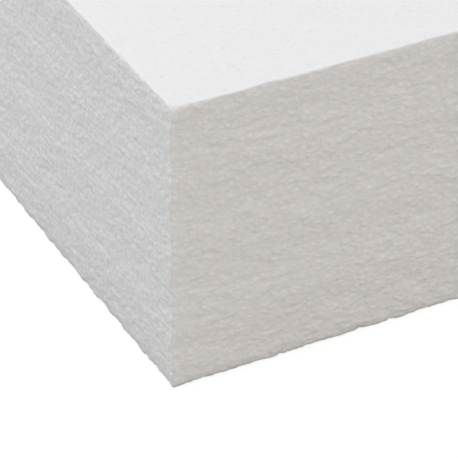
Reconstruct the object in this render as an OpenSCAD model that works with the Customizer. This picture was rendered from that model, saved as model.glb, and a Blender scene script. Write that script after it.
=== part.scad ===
// Foam insulation board: one slab of expanded polystyrene, cut from a moulded block with hot wires.
// Z runs through the thickness, X along the length. The origin is the middle of the underside.

/* [Board] */
// Length of the board along X
board_length = 1000; // [300:50:1200]
// Width of the board along Y
board_width = 500; // [200:50:600]
// Thickness of the board along Z
board_thickness = 100; // [50:10:200]

/* [Hot-wire cut edges] */
// Height of one band, the slow swell that the sagging wire leaves along an edge
band_pitch = 25; // [15:5:50]
// Depth of a band from crest to trough
band_depth = 0.4; // [0.1:0.1:0.8]
// Fine drag ripples within one band
ripples_per_band = 7; // [4:1:9]
// Depth of a fine ripple from crest to trough
ripple_depth = 0.12; // [0.05:0.01:0.2]
// Radius that handling leaves on the arrises round the top and the underside
arris_radius = 0.8; // [0.4:0.1:1.5]
// Radius that handling leaves on the four upright arrises
upright_radius = 1.2; // [0.6:0.1:2]

/* [Lost beads] */
// Diameter of one expanded bead, and so of the socket that it leaves
bead_diameter = 3; // [2:0.5:4]
// Depth of a lost bead's socket, measured in from the arris
socket_depth = 0.9; // [0.5:0.1:1.2]
// Height of the lowest socket on the chipped upright arris, which has one in each band above it
first_socket_height = 6.5; // [3:0.5:14]

/* [Hidden] */
$fn = 48;
// Places of the sockets under the front edge and the end, as distances from the chipped corner
front_sockets = [9, 16, 41, 53, 74, 83];
end_sockets = [5, 23, 28, 34];
// Points along one fine ripple of an edge's section
ripple_points = 6;
// Flats along the quarter round of an arris's section
arris_flats = 4;
// How far a cutting tool runs past the foam
overrun = 2;
// How many fine ripples each edge's bands are shifted by, since every edge has its own cut
front_shift = 0;
back_shift = 3;
near_end_shift = 2;
far_end_shift = 5;
ripple_pitch = band_pitch / ripples_per_band;
height_step = ripple_pitch / ripple_points;

// How far the wire ran inside the nominal face at one height: a slow swell with fine ripples on it.
function wire_depth(height, shift) =
    let (ripples = height / ripple_pitch + shift)
    band_depth / 2 * (1 - cos(360 * ripples / ripples_per_band))
    + ripple_depth / 2 * (1 - cos(360 * ripples));

// How far the rounded arris draws back from the cut face, within its radius of either broad face.
function arris_setback(height) =
    let (reach = arris_radius - min(height, board_thickness - height, arris_radius))
    arris_radius - sqrt(arris_radius * arris_radius - reach * reach);

// Heights of the section's points, from the underside up: close together round the arrises.
function section_heights() =
    let (
        round_heights = [for (i = [0 : arris_flats - 1]) arris_radius * (1 - cos(90 * i / arris_flats))],
        first_step = ceil(arris_radius / height_step),
        last_step = floor((board_thickness - arris_radius) / height_step)
    )
    concat(
        round_heights,
        [for (i = [first_step : last_step]) i * height_step],
        [for (i = [arris_flats - 1 : -1 : 0]) board_thickness - round_heights[i]]
    );

// Upright section across the board, flat above and below, with a wire-cut edge on either side.
module section(breadth, low_shift, high_shift) {
    heights = section_heights();
    last = len(heights) - 1;
    high_side = [for (i = [0 : last])
        [breadth / 2 - wire_depth(heights[i], high_shift) - arris_setback(heights[i]), heights[i]]];
    low_side = [for (i = [last : -1 : 0])
        [wire_depth(heights[i], low_shift) + arris_setback(heights[i]) - breadth / 2, heights[i]]];
    polygon(concat(high_side, low_side));
}

// The slab between the two wires that trim its long edges.
module long_cut()
    rotate([90, 0, 90])
        linear_extrude(height = board_length + 2 * overrun, center = true)
            section(board_width, front_shift, back_shift);

// The slab between the two wires that trim its ends.
module end_cut()
    rotate([90, 0, 0])
        linear_extrude(height = board_width + 2 * overrun, center = true)
            section(board_length, near_end_shift, far_end_shift);

// What handling wears off the upright arris at +X, +Y: the corner outside a quarter round.
module arris_wear()
    translate([board_length / 2 - upright_radius, board_width / 2 - upright_radius, -overrun])
        difference() {
            cube([upright_radius + overrun, upright_radius + overrun, board_thickness + 2 * overrun]);
            translate([0, 0, -overrun])
                cylinder(r = upright_radius, h = board_thickness + 4 * overrun);
        }

// The socket of one lost bead, sunk into an arris whose outward direction is given.
module bead_socket(arris_point, outward)
    translate(arris_point + outward * (bead_diameter / 2 - socket_depth))
        sphere(d = bead_diameter);

// The sockets round the one corner where beads have broken out, at -X, -Y.
module corner_sockets() {
    corner = [-board_length / 2, -board_width / 2, 0];
    slant = 1 / sqrt(2);
    for (height = [first_socket_height : band_pitch : board_thickness - bead_diameter])
        bead_socket(corner + [0, 0, height], [-slant, -slant, 0]);
    for (distance = front_sockets)
        bead_socket(corner + [distance, 0, 0], [0, -slant, -slant]);
    for (distance = end_sockets)
        bead_socket(corner + [0, distance, 0], [-slant, 0, -slant]);
}

module board() {
    color([0.93, 0.93, 0.92])
        difference() {
            intersection() {
                long_cut();
                end_cut();
            }
            for (x_flip = [0, 1], y_flip = [0, 1])
                mirror([x_flip, 0, 0])
                    mirror([0, y_flip, 0])
                        arris_wear();
            corner_sockets();
        }
}

board();
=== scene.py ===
"""Foam insulation board: one slab of expanded polystyrene, cut from a moulded block with hot wires.

Lengths are in metres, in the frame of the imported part: +X along the length, +Z up, and the origin in the
middle of the underside. The board is made here in the order of its real making: the blank slab, the marks
of the wires on its edges, the wear and the lost beads of its arrises, and the bead foam of its faces.
"""

import math

import bpy
import numpy as np
from mathutils import Matrix, Vector


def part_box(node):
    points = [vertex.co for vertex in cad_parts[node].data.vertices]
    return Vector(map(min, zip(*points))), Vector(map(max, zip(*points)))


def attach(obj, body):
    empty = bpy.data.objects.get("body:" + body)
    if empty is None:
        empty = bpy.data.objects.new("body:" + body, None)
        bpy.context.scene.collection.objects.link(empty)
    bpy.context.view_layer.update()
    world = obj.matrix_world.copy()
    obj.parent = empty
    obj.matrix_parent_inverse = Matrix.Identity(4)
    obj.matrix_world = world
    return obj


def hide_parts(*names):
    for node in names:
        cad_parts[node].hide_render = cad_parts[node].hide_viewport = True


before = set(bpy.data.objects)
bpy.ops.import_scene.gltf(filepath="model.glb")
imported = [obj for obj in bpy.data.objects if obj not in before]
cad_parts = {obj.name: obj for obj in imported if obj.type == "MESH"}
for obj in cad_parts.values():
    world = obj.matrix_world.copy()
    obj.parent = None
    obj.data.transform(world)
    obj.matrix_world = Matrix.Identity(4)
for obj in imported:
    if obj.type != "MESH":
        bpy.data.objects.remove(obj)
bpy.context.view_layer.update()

# --- The blank -------------------------------------------------------------------------------------
# A plain slab of bead foam, as it comes off the cutting table. Its skin is a lattice of square cells,
# small where the foam shows its detail and large in the middle of the broad faces, with no open seam.

low, high = (np.array(corner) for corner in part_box("board"))
board_size = high - low
half_step = board_size[2] / 512  # the lattice counts in half steps, so that a cell's middle is on it too
lattice_size = np.rint(board_size / half_step).astype(int)
widest_cell = 64  # in half steps
narrowest_cell = 2
corner_reach = np.array([0.105, 0.132])  # how far the detailed corner at -X, -Y runs along X and along Y
corner_arris_cell = 0.0004  # cell widths on the detailed corner's arrises and cut faces
corner_wall_cell = 0.0008
arris_cell = 0.0016  # and on those of the whole board
wall_cell = 0.0032
cell_growth = 0.5  # how fast cells may widen with distance: below 0.63, neighbours stay within 2 to 1
arris_growth = 0.012  # how fast the arrises' cells widen with distance from the detailed corner


def depth_under_planes(point):
    """Distance of each point from the slab's nearer face along X, Y and Z, as three columns."""
    return np.minimum(point - low, high - point)


def distance_to_corner_walls(point):
    """Distance to the two cut faces of the detailed corner, each a strip of corner_reach along its wall."""
    along_x, along_y = (point - low)[:, 0], (point - low)[:, 1]
    front = np.hypot(np.maximum(along_x - corner_reach[0], 0), along_y)
    end = np.hypot(np.maximum(along_y - corner_reach[1], 0), along_x)
    return np.minimum(front, end)


def cell_width_wanted(point):
    """Widest cell allowed at each point of the skin. Each feature asks for its own width where it lies,
    plus cell_growth times the distance from it, and the narrowest demand wins."""
    depths = depth_under_planes(point)
    to_arris = np.sort(depths, axis=1)[:, 1]
    to_wall = depths[:, :2].min(axis=1)
    to_corner = distance_to_corner_walls(point)
    return np.minimum.reduce(
        [
            corner_arris_cell + cell_growth * np.hypot(to_corner, to_arris),
            corner_wall_cell + cell_growth * to_corner,
            arris_cell + cell_growth * to_arris + arris_growth * to_corner,
            wall_cell + cell_growth * to_wall,
        ]
    )


def face_cells(axis, side):
    """Corners of the cells on one face, four for each cell, anticlockwise seen from outside. The face
    starts as cells of the widest kind, and each that is wider than wanted at its middle is cut in four."""
    across = [(axis + 1) % 3, (axis + 2) % 3]
    square = np.zeros((4, 3), int)
    square[:, across] = [[0, 0], [1, 0], [1, 1], [0, 1]]
    rows, columns = (np.arange(0, lattice_size[a], widest_cell) for a in across)
    cells = np.zeros((len(rows) * len(columns), 3), int)
    cells[:, across] = np.stack(np.meshgrid(rows, columns, indexing="ij"), -1).reshape(-1, 2)
    cells[:, axis] = side * lattice_size[axis]
    width = widest_cell
    finished = []
    while len(cells):
        middle = low + half_step * (cells + square[2] * width / 2)
        cut = (width * half_step > cell_width_wanted(middle)) & (width > narrowest_cell)
        finished.append(cells[~cut][:, None] + square * width)
        cells = (cells[cut][:, None] + square * (width // 2)).reshape(-1, 3)
        width //= 2
    corners = np.concatenate(finished)
    return corners if side else corners[:, ::-1]


def lattice_key(place):
    """One whole number for each place of the lattice."""
    return (place[..., 0] * (lattice_size[1] + 1) + place[..., 1]) * (lattice_size[2] + 1) + place[..., 2]


def lattice_place(key):
    """The place that a key stands for, as three columns."""
    rest, z = np.divmod(key, lattice_size[2] + 1)
    x, y = np.divmod(rest, lattice_size[1] + 1)
    return np.stack([x, y, z], -1)


def skin_lattice():
    """The slab's closed skin: its points, its square faces and its three-sided ones. A cell with a finer
    neighbour has that neighbour's corner in the middle of a side, and is a fan of triangles round its
    own centre."""
    corners = np.concatenate([face_cells(axis, side) for axis in range(3) for side in (0, 1)])
    keys = lattice_key(corners)
    next_keys = np.roll(keys, -1, axis=1)
    middle_keys = lattice_key((corners + np.roll(corners, -1, axis=1)) // 2)
    halved = np.isin(middle_keys, keys)
    fanned = halved.any(axis=1)
    ring = np.stack([keys, np.where(halved, middle_keys, next_keys)], -1)[fanned].reshape(-1, 8)
    next_ring = np.roll(ring, -1, axis=1)
    centre = np.repeat(lattice_key(corners[fanned].sum(axis=1) // 4)[:, None], 8, axis=1)
    triangles = np.stack([centre, ring, next_ring], -1)[ring != next_ring]
    used, order = np.unique(np.concatenate([keys[~fanned].ravel(), triangles.ravel()]), return_inverse=True)
    squares, triangles = np.split(order.ravel(), [keys[~fanned].size])
    return low + half_step * lattice_place(used), squares.reshape(-1, 4), triangles.reshape(-1, 3)


skin, squares, triangles = skin_lattice()
outward = np.where(skin > (low + high) / 2, 1.0, -1.0)
depths = depth_under_planes(skin)
cell_width = cell_width_wanted(skin)

# --- The wire-cut edges ----------------------------------------------------------------------------
# Taut hot wires trim the four edges. A wire sags and springs back as it is fed, which leaves slow bands
# with fine ripples on them, and it drags softened beads along, so that the cut is pebbled.

band_pitch = 0.025
band_depth = 0.0004
ripples_per_band = 7
ripple_depth = 0.00003
edge_shifts = {(0, -1): 2, (0, 1): 5, (1, -1): 0, (1, 1): 3}  # of the bands, in ripples, by axis and side
ripple_cell = 0.0016  # cells wider than this hold no ripples, and those narrower by ripple_fade hold all
ripple_fade = 0.0008
mark_reach = 0.003  # how far behind a cut face the foam gives way with it
pebble_lengths = np.array([0.0023, 0.0023, 0.0009])  # along X, Y and Z: the drag draws the pebbles out
pebble_depth = 0.00014
pebble_limit = 1.6  # a pebble stands out by no more than this many times its usual depth
pebble_cell = 0.0032  # cells wider than this hold no pebbles, and those narrower by pebble_fade hold all
pebble_fade = 0.0022


def smooth_step(value):
    """0 below 0, 1 above 1, and 3 v^2 - 2 v^3 between them."""
    share = np.clip(value, 0, 1)
    return share * share * (3 - 2 * share)


def wire_depth(height, shift, ripple_share):
    """How far the wire ran inside the face at each height: half a band's depth times 1 - cos of the
    band's turn, and the same for the ripples, which fade where the lattice is too coarse to hold them."""
    ripples = height / band_pitch * ripples_per_band + shift
    band = band_depth / 2 * (1 - np.cos(math.tau * ripples / ripples_per_band))
    return band + ripple_share * ripple_depth / 2 * (1 - np.cos(math.tau * ripples))


def wandering(point, lengths, seed, wave_count=160):
    """A field without pattern, of mean 0 and usual size 1, that changes over the given lengths along X, Y
    and Z: the sum of plane waves with random phases, whose wave numbers are normal draws over those
    lengths."""
    draws = np.random.default_rng(seed)
    waves = draws.normal(size=(wave_count, 3)) / lengths
    phases = draws.uniform(0, math.tau, wave_count)
    return math.sqrt(2 / wave_count) * np.cos(point @ waves.T + phases).sum(axis=1)


def wire_marks():
    """Inward shift of every point along X and Y: the bands, the ripples and the pebbles of its nearer
    walls, in full on the wall and fading behind it over mark_reach."""
    shift = np.zeros_like(skin)
    nearness = smooth_step(1 - depths / mark_reach)
    ripple_share = smooth_step((ripple_cell - cell_width) / ripple_fade)
    pebble_share = smooth_step((pebble_cell - cell_width) / pebble_fade)
    for (axis, side), edge_shift in edge_shifts.items():
        wall = outward[:, axis] == side
        mark = wire_depth(skin[:, 2] - low[2], edge_shift, ripple_share)
        field = wandering(skin, pebble_lengths, seed=10 + 2 * axis + side)
        pebble = pebble_depth * (pebble_limit - np.minimum(field, pebble_limit))
        shift[:, axis] += wall * nearness[:, axis] * (mark + pebble * pebble_share)
    return shift


marks = wire_marks()

# --- The arrises -----------------------------------------------------------------------------------
# Every arris is rounded a little by handling. It follows the beads along it, so it is scalloped, and at
# the detailed corner whole beads have broken out and left their sockets.

top_radius = 0.0004
under_radius = 0.0005
upright_radius = 0.0004
upright_run_out = 0.005  # the height over which the radius changes, at either end of an upright arris
corner_wear = 0.0014  # how much rounder still the tips of the top corners are, within corner_wear_reach
corner_wear_reach = 0.005
foot_height = 0.0055  # the lowest stretch of a cut face, which handling has leant in by foot_depth
foot_depth = 0.0007
scallop_length = 0.0031  # the length over which the field behind the scallops wanders
under_scallop_depth = 0.0003
top_scallop_depth = 0.00008
nibble_length = 0.001  # the nibbles are finer cusps, about one for each bead, along the arris below
nibble_depth = 0.0002
joint_width = 1.3  # half the width of a joint between beads, in usual sizes of the field behind it
scallop_reach = 0.0022  # how far scallops and nibbles reach from the arris
bead_diameter = 0.003
socket_depth = 0.0009
first_socket_height = 0.0065
front_sockets = [0.009, 0.016, 0.041, 0.053, 0.074, 0.083]  # distances from the corner along each arris
end_sockets = [0.005, 0.023, 0.028, 0.034]


def rounding():
    """Inward shift that rounds the arrises: a point outside the inner slab, whose faces lie one radius
    deeper, is drawn back until it is one radius from it. The radius goes by the point's height, and grows
    by corner_wear at the four top corners, fading away from them over corner_wear_reach."""
    heights = [low[2], low[2] + upright_run_out, high[2] - upright_run_out, high[2]]
    radii = [under_radius, upright_radius, upright_radius, top_radius]
    to_top_corner = np.linalg.norm(depth_under_planes(skin) * [1, 1, 0], axis=1) + high[2] - skin[:, 2]
    wear = corner_wear * smooth_step(1 - to_top_corner / corner_wear_reach)
    radius = (np.interp(skin[:, 2], heights, radii) + wear)[:, None]
    overhang = np.maximum(radius - depths, 0)
    reach = np.linalg.norm(overhang, axis=1, keepdims=True)
    return overhang * (1 - radius / reach)


def foot_lean():
    """Inward shift of the foot of the cut faces: foot_depth at the underside, falling to nothing over
    foot_height as a quarter of an ellipse."""
    climb = np.clip((skin[:, 2] - low[2]) / foot_height, 0, 1)
    lean = foot_depth * (1 - np.sqrt(1 - (1 - climb) ** 2))
    nearness = smooth_step(1 - depths / mark_reach)
    nearness[:, 2] = 0
    return nearness * lean[:, None]


def joints_between_beads(length, seed):
    """1 on the surfaces where a field that wanders over this length crosses zero, less by its size over
    joint_width beside them, and 0 at last."""
    return np.maximum(1 - np.abs(wandering(skin, length, seed)) / joint_width, 0)


def scallops():
    """Inward shift of the cusps between beads along the arrises above and below: the square of each kind
    of joint times its depth, fading away from the arris over scallop_reach. The depth changes from the
    lower arris's to the upper one's over the middle half of the board's thickness."""
    nearness = smooth_step(1 - depths / scallop_reach)
    arris_share = np.sort(nearness, axis=1)[:, 1] * nearness[:, 2]
    upper_share = smooth_step((skin[:, 2] - low[2]) / board_size[2] * 2 - 0.5)
    scallop_depth = under_scallop_depth + (top_scallop_depth - under_scallop_depth) * upper_share
    scallop = scallop_depth * joints_between_beads(scallop_length, seed=32) ** 2
    nibble = nibble_depth * (1 - upper_share) * joints_between_beads(nibble_length, seed=33) ** 2
    return nearness * (arris_share * (scallop + nibble))[:, None]


def socket_places():
    """Where each lost bead of the detailed corner lay on its arris, and the direction straight outwards."""
    slant = math.sqrt(0.5)
    heights = np.arange(first_socket_height, board_size[2] - bead_diameter, band_pitch)
    arrises = [
        ([[0, 0, height] for height in heights], [-slant, -slant, 0]),
        ([[along, 0, 0] for along in front_sockets], [0, -slant, -slant]),
        ([[0, along, 0] for along in end_sockets], [-slant, 0, -slant]),
    ]
    for places, direction in arrises:
        direction = np.array(direction)
        for place in places:
            yield np.array(place), direction


def sink_sockets(point):
    """Moves every point inside a lost bead's ball straight inward, to the far side of the ball, which
    reaches socket_depth behind the arris."""
    for place, direction in socket_places():
        offset = point - low - place - direction * (bead_diameter / 2 - socket_depth)
        along = offset @ direction
        distance_squared = (offset**2).sum(axis=1)
        miss_squared = distance_squared - along**2
        half_chord = np.sqrt(np.maximum((bead_diameter / 2) ** 2 - miss_squared, 0))
        inside = distance_squared < (bead_diameter / 2) ** 2
        point = point - np.where(inside, along + half_chord, 0)[:, None] * direction
    return point


worn_skin = sink_sockets(skin - outward * (marks + rounding() + foot_lean() + scallops()))


def make_mesh_object(name, points, squares, triangles):
    """A mesh object at the origin with these points and faces, smoothly shaded."""
    mesh = bpy.data.meshes.new(name)
    mesh.from_pydata(points.tolist(), [], squares.tolist() + triangles.tolist())
    mesh.shade_smooth()
    mesh.validate()
    made = bpy.data.objects.new(name, mesh)
    bpy.context.scene.collection.objects.link(made)
    return made


board = make_mesh_object("bead_foam_board", worn_skin, squares, triangles)
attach(board, "root")
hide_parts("board")

# --- The bead foam ---------------------------------------------------------------------------------
# Expanded polystyrene beads, about 3 mm across, fused in the mould: matt, nearly white and a little
# translucent. The wire leaves the cut edges pebbled, while the broad faces show faint joints between beads.

foam_paleness = 0.84
foam_roughness = 0.8
translucence = 0.32  # the share of the light that goes into the foam and comes out near by
translucence_reach = 0.0033
bead_spacing = 0.0023
bead_reach = 0.75  # in bead spacings, how far a bead's dome reaches from its middle
bead_height = 0.0002
bead_middle = 0.3  # the middle level of the domes, as a share of a crest's height
bead_lean = 1.0  # how much higher a dome is above its middle, where the wire has dragged the skin over it
crest_light_valley_shade = 0.09  # painted light and shade: how much paler a dome's crest is painted than the valleys between beads
lump_length = 0.0019
lump_height = 0.00064
streak_length = 0.0019
streak_stretch = 3.5  # how many times longer the dragged streaks are than the lumps
streak_height = 0.00034
long_edge_slant = 0.1  # how far the streaks slope down along X on the long edges, and along Y on the ends
end_slant = 0.02
cut_flatness = 1.2  # how much longer the edges' beads are than they are high
speck_length = 0.0014
speck_start = 0.54  # the level of the noise at which a speck starts, and the one at which it is full
speck_full = 0.8
speck_depth = 0.00005
speck_shade = 0.075  # painted shade: how much darker a speck is painted than the face round it, for the shade in its open joint
face_grain_length = 0.0011
face_grain_tone = 0.05
cut_share_reach = 0.0008  # the height over which the cut edges' finish takes over from a broad face's
painted_shade_tone = 0.45  # painted shade: how much darker the foam is painted where the painted-shade attribute is 1
foot_contact_shade = 0.6  # painted contact shadow: the thin dark line round the foot, and the fainter band that reaches higher
foot_contact_shade_height = 0.0014
foot_band_shade = 0.13
foot_band_height = 0.005
under_shade_width = 0.006  # how far both reach in under the board
upright_socket_shade = 0.15  # painted shade in the sockets of the upright arris, where those under the board have 1
socket_shade_reach = 0.0014  # how far the painted shade of a socket reaches along its arris


class Finish:
    """A node material in the making: each call adds one node and gives back its output."""

    def __init__(self, name):
        self.material = bpy.data.materials.new(name)
        self.material.use_nodes = True
        self.nodes = self.material.node_tree.nodes
        self.links = self.material.node_tree.links
        self.shader = self.nodes["Principled BSDF"]

    def node(self, kind, inputs, output=0, **settings):
        """Adds a node of this kind. An input is a value or another node's output."""
        made = self.nodes.new(kind)
        for setting, value in settings.items():
            setattr(made, setting, value)
        for socket, value in inputs.items():
            if isinstance(value, bpy.types.NodeSocket):
                self.links.new(value, made.inputs[socket])
            else:
                made.inputs[socket].default_value = value
        return made.outputs[output]

    def maths(self, operation, first, second=0.0):
        """The result of one operation on two values."""
        return self.node("ShaderNodeMath", {0: first, 1: second}, operation=operation)

    def swing(self, value, middle, size):
        """Size times how far value is above its middle."""
        return self.maths("MULTIPLY", self.maths("SUBTRACT", value, middle), size)

    def share(self, value, at_none, at_full):
        """0 to 1 as value goes from at_none to at_full, smoothly."""
        ends = {"Value": value, "From Min": at_none, "From Max": at_full}
        return self.node("ShaderNodeMapRange", ends, interpolation_type="SMOOTHSTEP")

    def noise(self, place, length, detail):
        """Random field from 0 to 1 whose lumps are about this length across, with finer ones for detail."""
        inputs = {"Vector": place, "Scale": 1 / length, "Detail": detail}
        return self.node("ShaderNodeTexNoise", inputs)


def cut_place(finish, stretch=1.0):
    """Object coordinates, sheared so that what is level in them slopes down along +X and +Y, squeezed in
    height so that round cells come out flat, and stretched along the faces so that they come out long."""
    place = finish.node("ShaderNodeTexCoord", {}, "Object")
    split = finish.node("ShaderNodeSeparateXYZ", {"Vector": place}).node
    long_edge_drop = finish.maths("MULTIPLY", split.outputs["X"], long_edge_slant)
    end_drop = finish.maths("MULTIPLY", split.outputs["Y"], end_slant)
    drop = finish.maths("ADD", long_edge_drop, end_drop)
    height = finish.maths("ADD", split.outputs["Z"], drop)
    flat = finish.maths("MULTIPLY", height, cut_flatness)
    x, y = (finish.maths("DIVIDE", split.outputs[axis], stretch) for axis in "XY")
    return finish.node("ShaderNodeCombineXYZ", {"X": x, "Y": y, "Z": flat})


def dragged_beads(finish):
    """0 in the valleys and about 1 on the crests of the cut beads: a smooth dome round the middle of each,
    times 1 plus bead_lean times the climb above that middle in bead spacings."""
    place = cut_place(finish)
    cells = finish.node("ShaderNodeTexVoronoi", {"Vector": place, "Scale": 1 / bead_spacing}).node
    offset = finish.node(
        "ShaderNodeVectorMath", {0: place, 1: cells.outputs["Position"]}, operation="SUBTRACT"
    )
    climb = finish.node("ShaderNodeSeparateXYZ", {"Vector": offset}, "Z")
    lean = finish.maths("ADD", finish.maths("MULTIPLY", climb, bead_lean / bead_spacing), 1.0)
    return finish.maths("MULTIPLY", finish.share(cells.outputs["Distance"], bead_reach, 0.0), lean)


def cut_relief(finish, beads):
    """Height of the wire-cut face over its middle level, in metres: the beads, the lumps under them and the
    streaks of the drag."""
    domes = finish.swing(beads, bead_middle, bead_height)
    lumps = finish.swing(finish.noise(cut_place(finish), lump_length, detail=2.0), 0.5, lump_height)
    drag = finish.noise(cut_place(finish, streak_stretch), streak_length, detail=1.0)
    streaks = finish.swing(drag, 0.5, streak_height)
    return finish.maths("ADD", finish.maths("ADD", lumps, streaks), domes)


def face_specks(finish):
    """0 to 1 at the small open joints that the broad faces keep between their beads."""
    place = finish.node("ShaderNodeTexCoord", {}, "Object")
    return finish.share(finish.noise(place, speck_length, detail=2.0), speck_start, speck_full)


def bead_foam():
    """The foam: one relief and tone for the cut edges, one for the broad faces, mixed by the attribute
    cut_edge, which is 1 on the edges and 0 on the broad faces. A painted-shade attribute darkens it with a
    painted contact shadow round the foot and painted shade in the sockets. The crests of the cut beads are
    painted paler and the valleys darker, and the specks of the broad faces are painted darker, as painted
    light and shade."""
    finish = Finish("bead_foam")
    cut_edge = finish.node("ShaderNodeAttribute", {}, "Fac", attribute_name="cut_edge")
    broad_face = finish.maths("SUBTRACT", 1.0, cut_edge)
    beads = dragged_beads(finish)
    specks = finish.maths("MULTIPLY", face_specks(finish), broad_face)
    relief = finish.maths("MULTIPLY", cut_relief(finish, beads), cut_edge)
    relief = finish.maths("SUBTRACT", relief, finish.maths("MULTIPLY", specks, speck_depth))
    bump = finish.node("ShaderNodeBump", {"Height": relief, "Distance": 1.0, "Strength": 1.0})
    place = finish.node("ShaderNodeTexCoord", {}, "Object")
    grain = finish.noise(place, face_grain_length, detail=1.0)
    grain = finish.maths("MULTIPLY", finish.swing(grain, 0.5, face_grain_tone), broad_face)
    # painted light and shade: the crests of the cut beads are painted paler and the valleys between them
    # darker
    painted_crest_shading = finish.maths("MULTIPLY", finish.swing(beads, bead_middle, crest_light_valley_shade), cut_edge)
    tone = finish.maths("ADD", grain, painted_crest_shading)
    # painted shade in the open joints of the broad faces
    tone = finish.maths("SUBTRACT", tone, finish.maths("MULTIPLY", specks, speck_shade))
    # painted shade: a contact shadow round the foot and shade in the lost beads' sockets
    painted_shade = finish.node("ShaderNodeAttribute", {}, "Fac", attribute_name="painted_shade")
    tone = finish.maths("SUBTRACT", tone, finish.maths("MULTIPLY", painted_shade, painted_shade_tone))
    tone = finish.maths("ADD", tone, 1.0)
    shader = finish.shader
    finish.links.new(bump, shader.inputs["Normal"])
    finish.links.new(finish.maths("MULTIPLY", tone, foam_paleness), shader.inputs["Base Color"])
    shader.inputs["Roughness"].default_value = foam_roughness
    shader.inputs["Subsurface Weight"].default_value = translucence
    shader.inputs["Subsurface Radius"].default_value = (1, 1, 1)
    shader.inputs["Subsurface Scale"].default_value = translucence_reach
    return finish.material


def painted_shade_share():
    """How much painted shade each point has: a painted contact shadow round the underside's arris, a thin
    dark line and a fainter band above it, each fading upwards over its own height and inwards under the
    board.
    In the sockets of the lost beads the painted shade is 1 under the board and a smaller share on the
    upright arris. It is full within half of the socket reach of each and fades to 0 at that reach, with
    heights counted twice."""
    climb = skin[:, 2] - low[2]
    share = foot_contact_shade * smooth_step(1 - climb / foot_contact_shade_height)
    share += foot_band_shade * smooth_step(1 - climb / foot_band_height)
    share *= smooth_step(1 - depths[:, :2].min(axis=1) / under_shade_width)
    for place, direction in socket_places():
        distance = np.linalg.norm((skin - low - place) * [1, 1, 2], axis=1)
        depth = 1.0 if direction[2] < 0 else upright_socket_shade
        share = np.maximum(share, depth * smooth_step(2 * (1 - distance / socket_shade_reach)))
    return share


cut_edge = board.data.attributes.new("cut_edge", "FLOAT", "POINT")
cut_edge.data.foreach_set("value", smooth_step(depths[:, 2] / cut_share_reach))
# painted shade, which the foam's colour reads: a contact shadow round the foot and shade in the sockets
painted_shade = board.data.attributes.new("painted_shade", "FLOAT", "POINT")
painted_shade.data.foreach_set("value", painted_shade_share())
board.data.materials.append(bead_foam())

# --- The studio ------------------------------------------------------------------------------------
# A pale floor under a pale sky, with soft light from overhead, from both sides and from the front, where
# a low warm lamp gives the long edge its tint. A long lens looks down on the chipped corner.

lens_length = 220.0  # lens and film in millimetres
film_width = 36.0
camera_from_corner = (-0.3017, -0.5974, 0.5173)
camera_yaw = math.radians(28.235)
camera_pitch = math.radians(34.384)
camera_roll = math.radians(0.554)
chipped_arris = Vector((low[0], low[1], high[2] / 2))  # its middle, at which the lamps are aimed
floor_reach = 30.0
floor_grey = 0.5  # the floor as it lights the board
seen_floor_grey = 0.26  # the floor as it is looked at: a grey that takes the board's shadow, and a glow
seen_floor_glow = 0.83
sky_grey = 0.6  # the sky as it lights the board


def add_camera():
    """A camera at camera_from_corner from the foot of the chipped arris. From a level look along +Y it is
    rolled, pitched down and turned to the right."""
    lens = bpy.data.cameras.new("camera")
    lens.lens = lens_length
    lens.sensor_width = film_width
    lens.clip_start = 0.01
    camera = bpy.data.objects.new("camera", lens)
    bpy.context.scene.collection.objects.link(camera)
    turn = (
        Matrix.Rotation(-camera_yaw, 4, "Z")
        @ Matrix.Rotation(math.pi / 2 - camera_pitch, 4, "X")
        @ Matrix.Rotation(camera_roll, 4, "Z")
    )
    camera.matrix_world = Matrix.Translation(Vector(low) + Vector(camera_from_corner)) @ turn
    bpy.context.scene.camera = camera


def add_soft_lamp(name, offset, width, power, colour=(1, 1, 1)):
    """A square area lamp at this offset from the chipped arris, turned towards it."""
    light = bpy.data.lights.new(name, "AREA")
    light.shape = "SQUARE"
    light.size = width
    light.energy = power
    light.color = colour
    lamp = bpy.data.objects.new(name, light)
    bpy.context.scene.collection.objects.link(lamp)
    place = chipped_arris + Vector(offset)
    lamp.location = place
    lamp.rotation_mode = "QUATERNION"
    lamp.rotation_quaternion = (chipped_arris - place).to_track_quat("-Z", "Y")


def seen_rays(nodes, links):
    """1 for the rays that look at a backdrop, the camera's and those mirrored or let through, and 0 for
    the rest: the largest of the three marks."""
    path = nodes.new("ShaderNodeLightPath")
    seen = path.outputs["Is Camera Ray"]
    for kind in ("Is Glossy Ray", "Is Transmission Ray"):
        larger = nodes.new("ShaderNodeMath")
        larger.operation = "MAXIMUM"
        links.new(seen, larger.inputs[0])
        links.new(path.outputs[kind], larger.inputs[1])
        seen = larger.outputs[0]
    return seen


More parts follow.
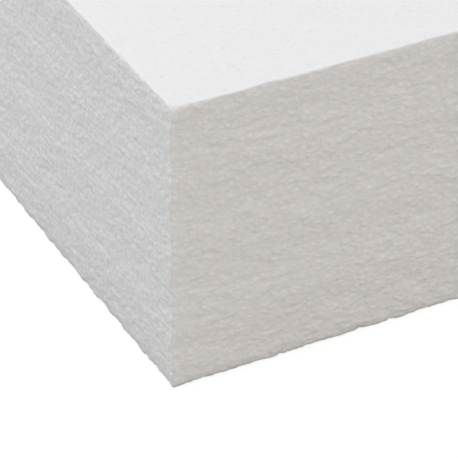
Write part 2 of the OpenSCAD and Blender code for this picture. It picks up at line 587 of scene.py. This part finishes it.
def add_floor():
    """A level square that is grey to the light and nearly white to the rays that look at it."""
    mesh = bpy.data.meshes.new("floor")
    square = [(-1, -1, 0), (1, -1, 0), (1, 1, 0), (-1, 1, 0)]
    mesh.from_pydata([Vector(tip) * floor_reach for tip in square], [], [(0, 1, 2, 3)])
    floor = bpy.data.objects.new("floor", mesh)
    bpy.context.scene.collection.objects.link(floor)
    material = bpy.data.materials.new("pale_floor")
    material.use_nodes = True
    nodes, links = material.node_tree.nodes, material.node_tree.links
    nodes.clear()
    output = nodes.new("ShaderNodeOutputMaterial")
    lighting = nodes.new("ShaderNodeBsdfDiffuse")
    lighting.inputs["Color"].default_value = (floor_grey, floor_grey, floor_grey, 1)
    shaded = nodes.new("ShaderNodeBsdfDiffuse")
    shaded.inputs["Color"].default_value = (seen_floor_grey, seen_floor_grey, seen_floor_grey, 1)
    glow = nodes.new("ShaderNodeEmission")
    glow.inputs["Strength"].default_value = seen_floor_glow
    seen = nodes.new("ShaderNodeAddShader")
    mix = nodes.new("ShaderNodeMixShader")
    links.new(shaded.outputs[0], seen.inputs[0])
    links.new(glow.outputs[0], seen.inputs[1])
    links.new(seen_rays(nodes, links), mix.inputs[0])
    links.new(lighting.outputs[0], mix.inputs[1])
    links.new(seen.outputs[0], mix.inputs[2])
    links.new(mix.outputs[0], output.inputs["Surface"])
    mesh.materials.append(material)


def add_world():
    """A sky that is grey to the light and white to the rays that look at it."""
    world = bpy.data.worlds.new("studio")
    bpy.context.scene.world = world
    world.use_nodes = True
    nodes, links = world.node_tree.nodes, world.node_tree.links
    nodes.clear()
    output = nodes.new("ShaderNodeOutputWorld")
    lighting = nodes.new("ShaderNodeBackground")
    lighting.inputs["Color"].default_value = (sky_grey, sky_grey, sky_grey, 1)
    seen = nodes.new("ShaderNodeBackground")
    seen.inputs["Color"].default_value = (1, 1, 1, 1)
    mix = nodes.new("ShaderNodeMixShader")
    links.new(seen_rays(nodes, links), mix.inputs[0])
    links.new(lighting.outputs[0], mix.inputs[1])
    links.new(seen.outputs[0], mix.inputs[2])
    links.new(mix.outputs[0], output.inputs["Surface"])


add_camera()
add_floor()
add_world()
add_soft_lamp("overhead", (0.3, 0.3, 1.6), width=1.2, power=5.5, colour=(0.93, 0.93, 1.0))
add_soft_lamp("right_softbox", (1.0, -1.0, 1.0), width=0.8, power=2.95)
add_soft_lamp("left_softbox", (-0.75, 0.7, 0.8), width=0.6, power=4.05, colour=(1.0, 0.98, 0.965))
add_soft_lamp("front_fill", (-1.6, -1.6, 0.95), width=1.2, power=2.56)
add_soft_lamp("front_glow", (0.3, -1.6, 0.15), width=0.8, power=2.4, colour=(1.0, 0.56, 0.17))
bpy.context.scene.view_settings.view_transform = "Standard"
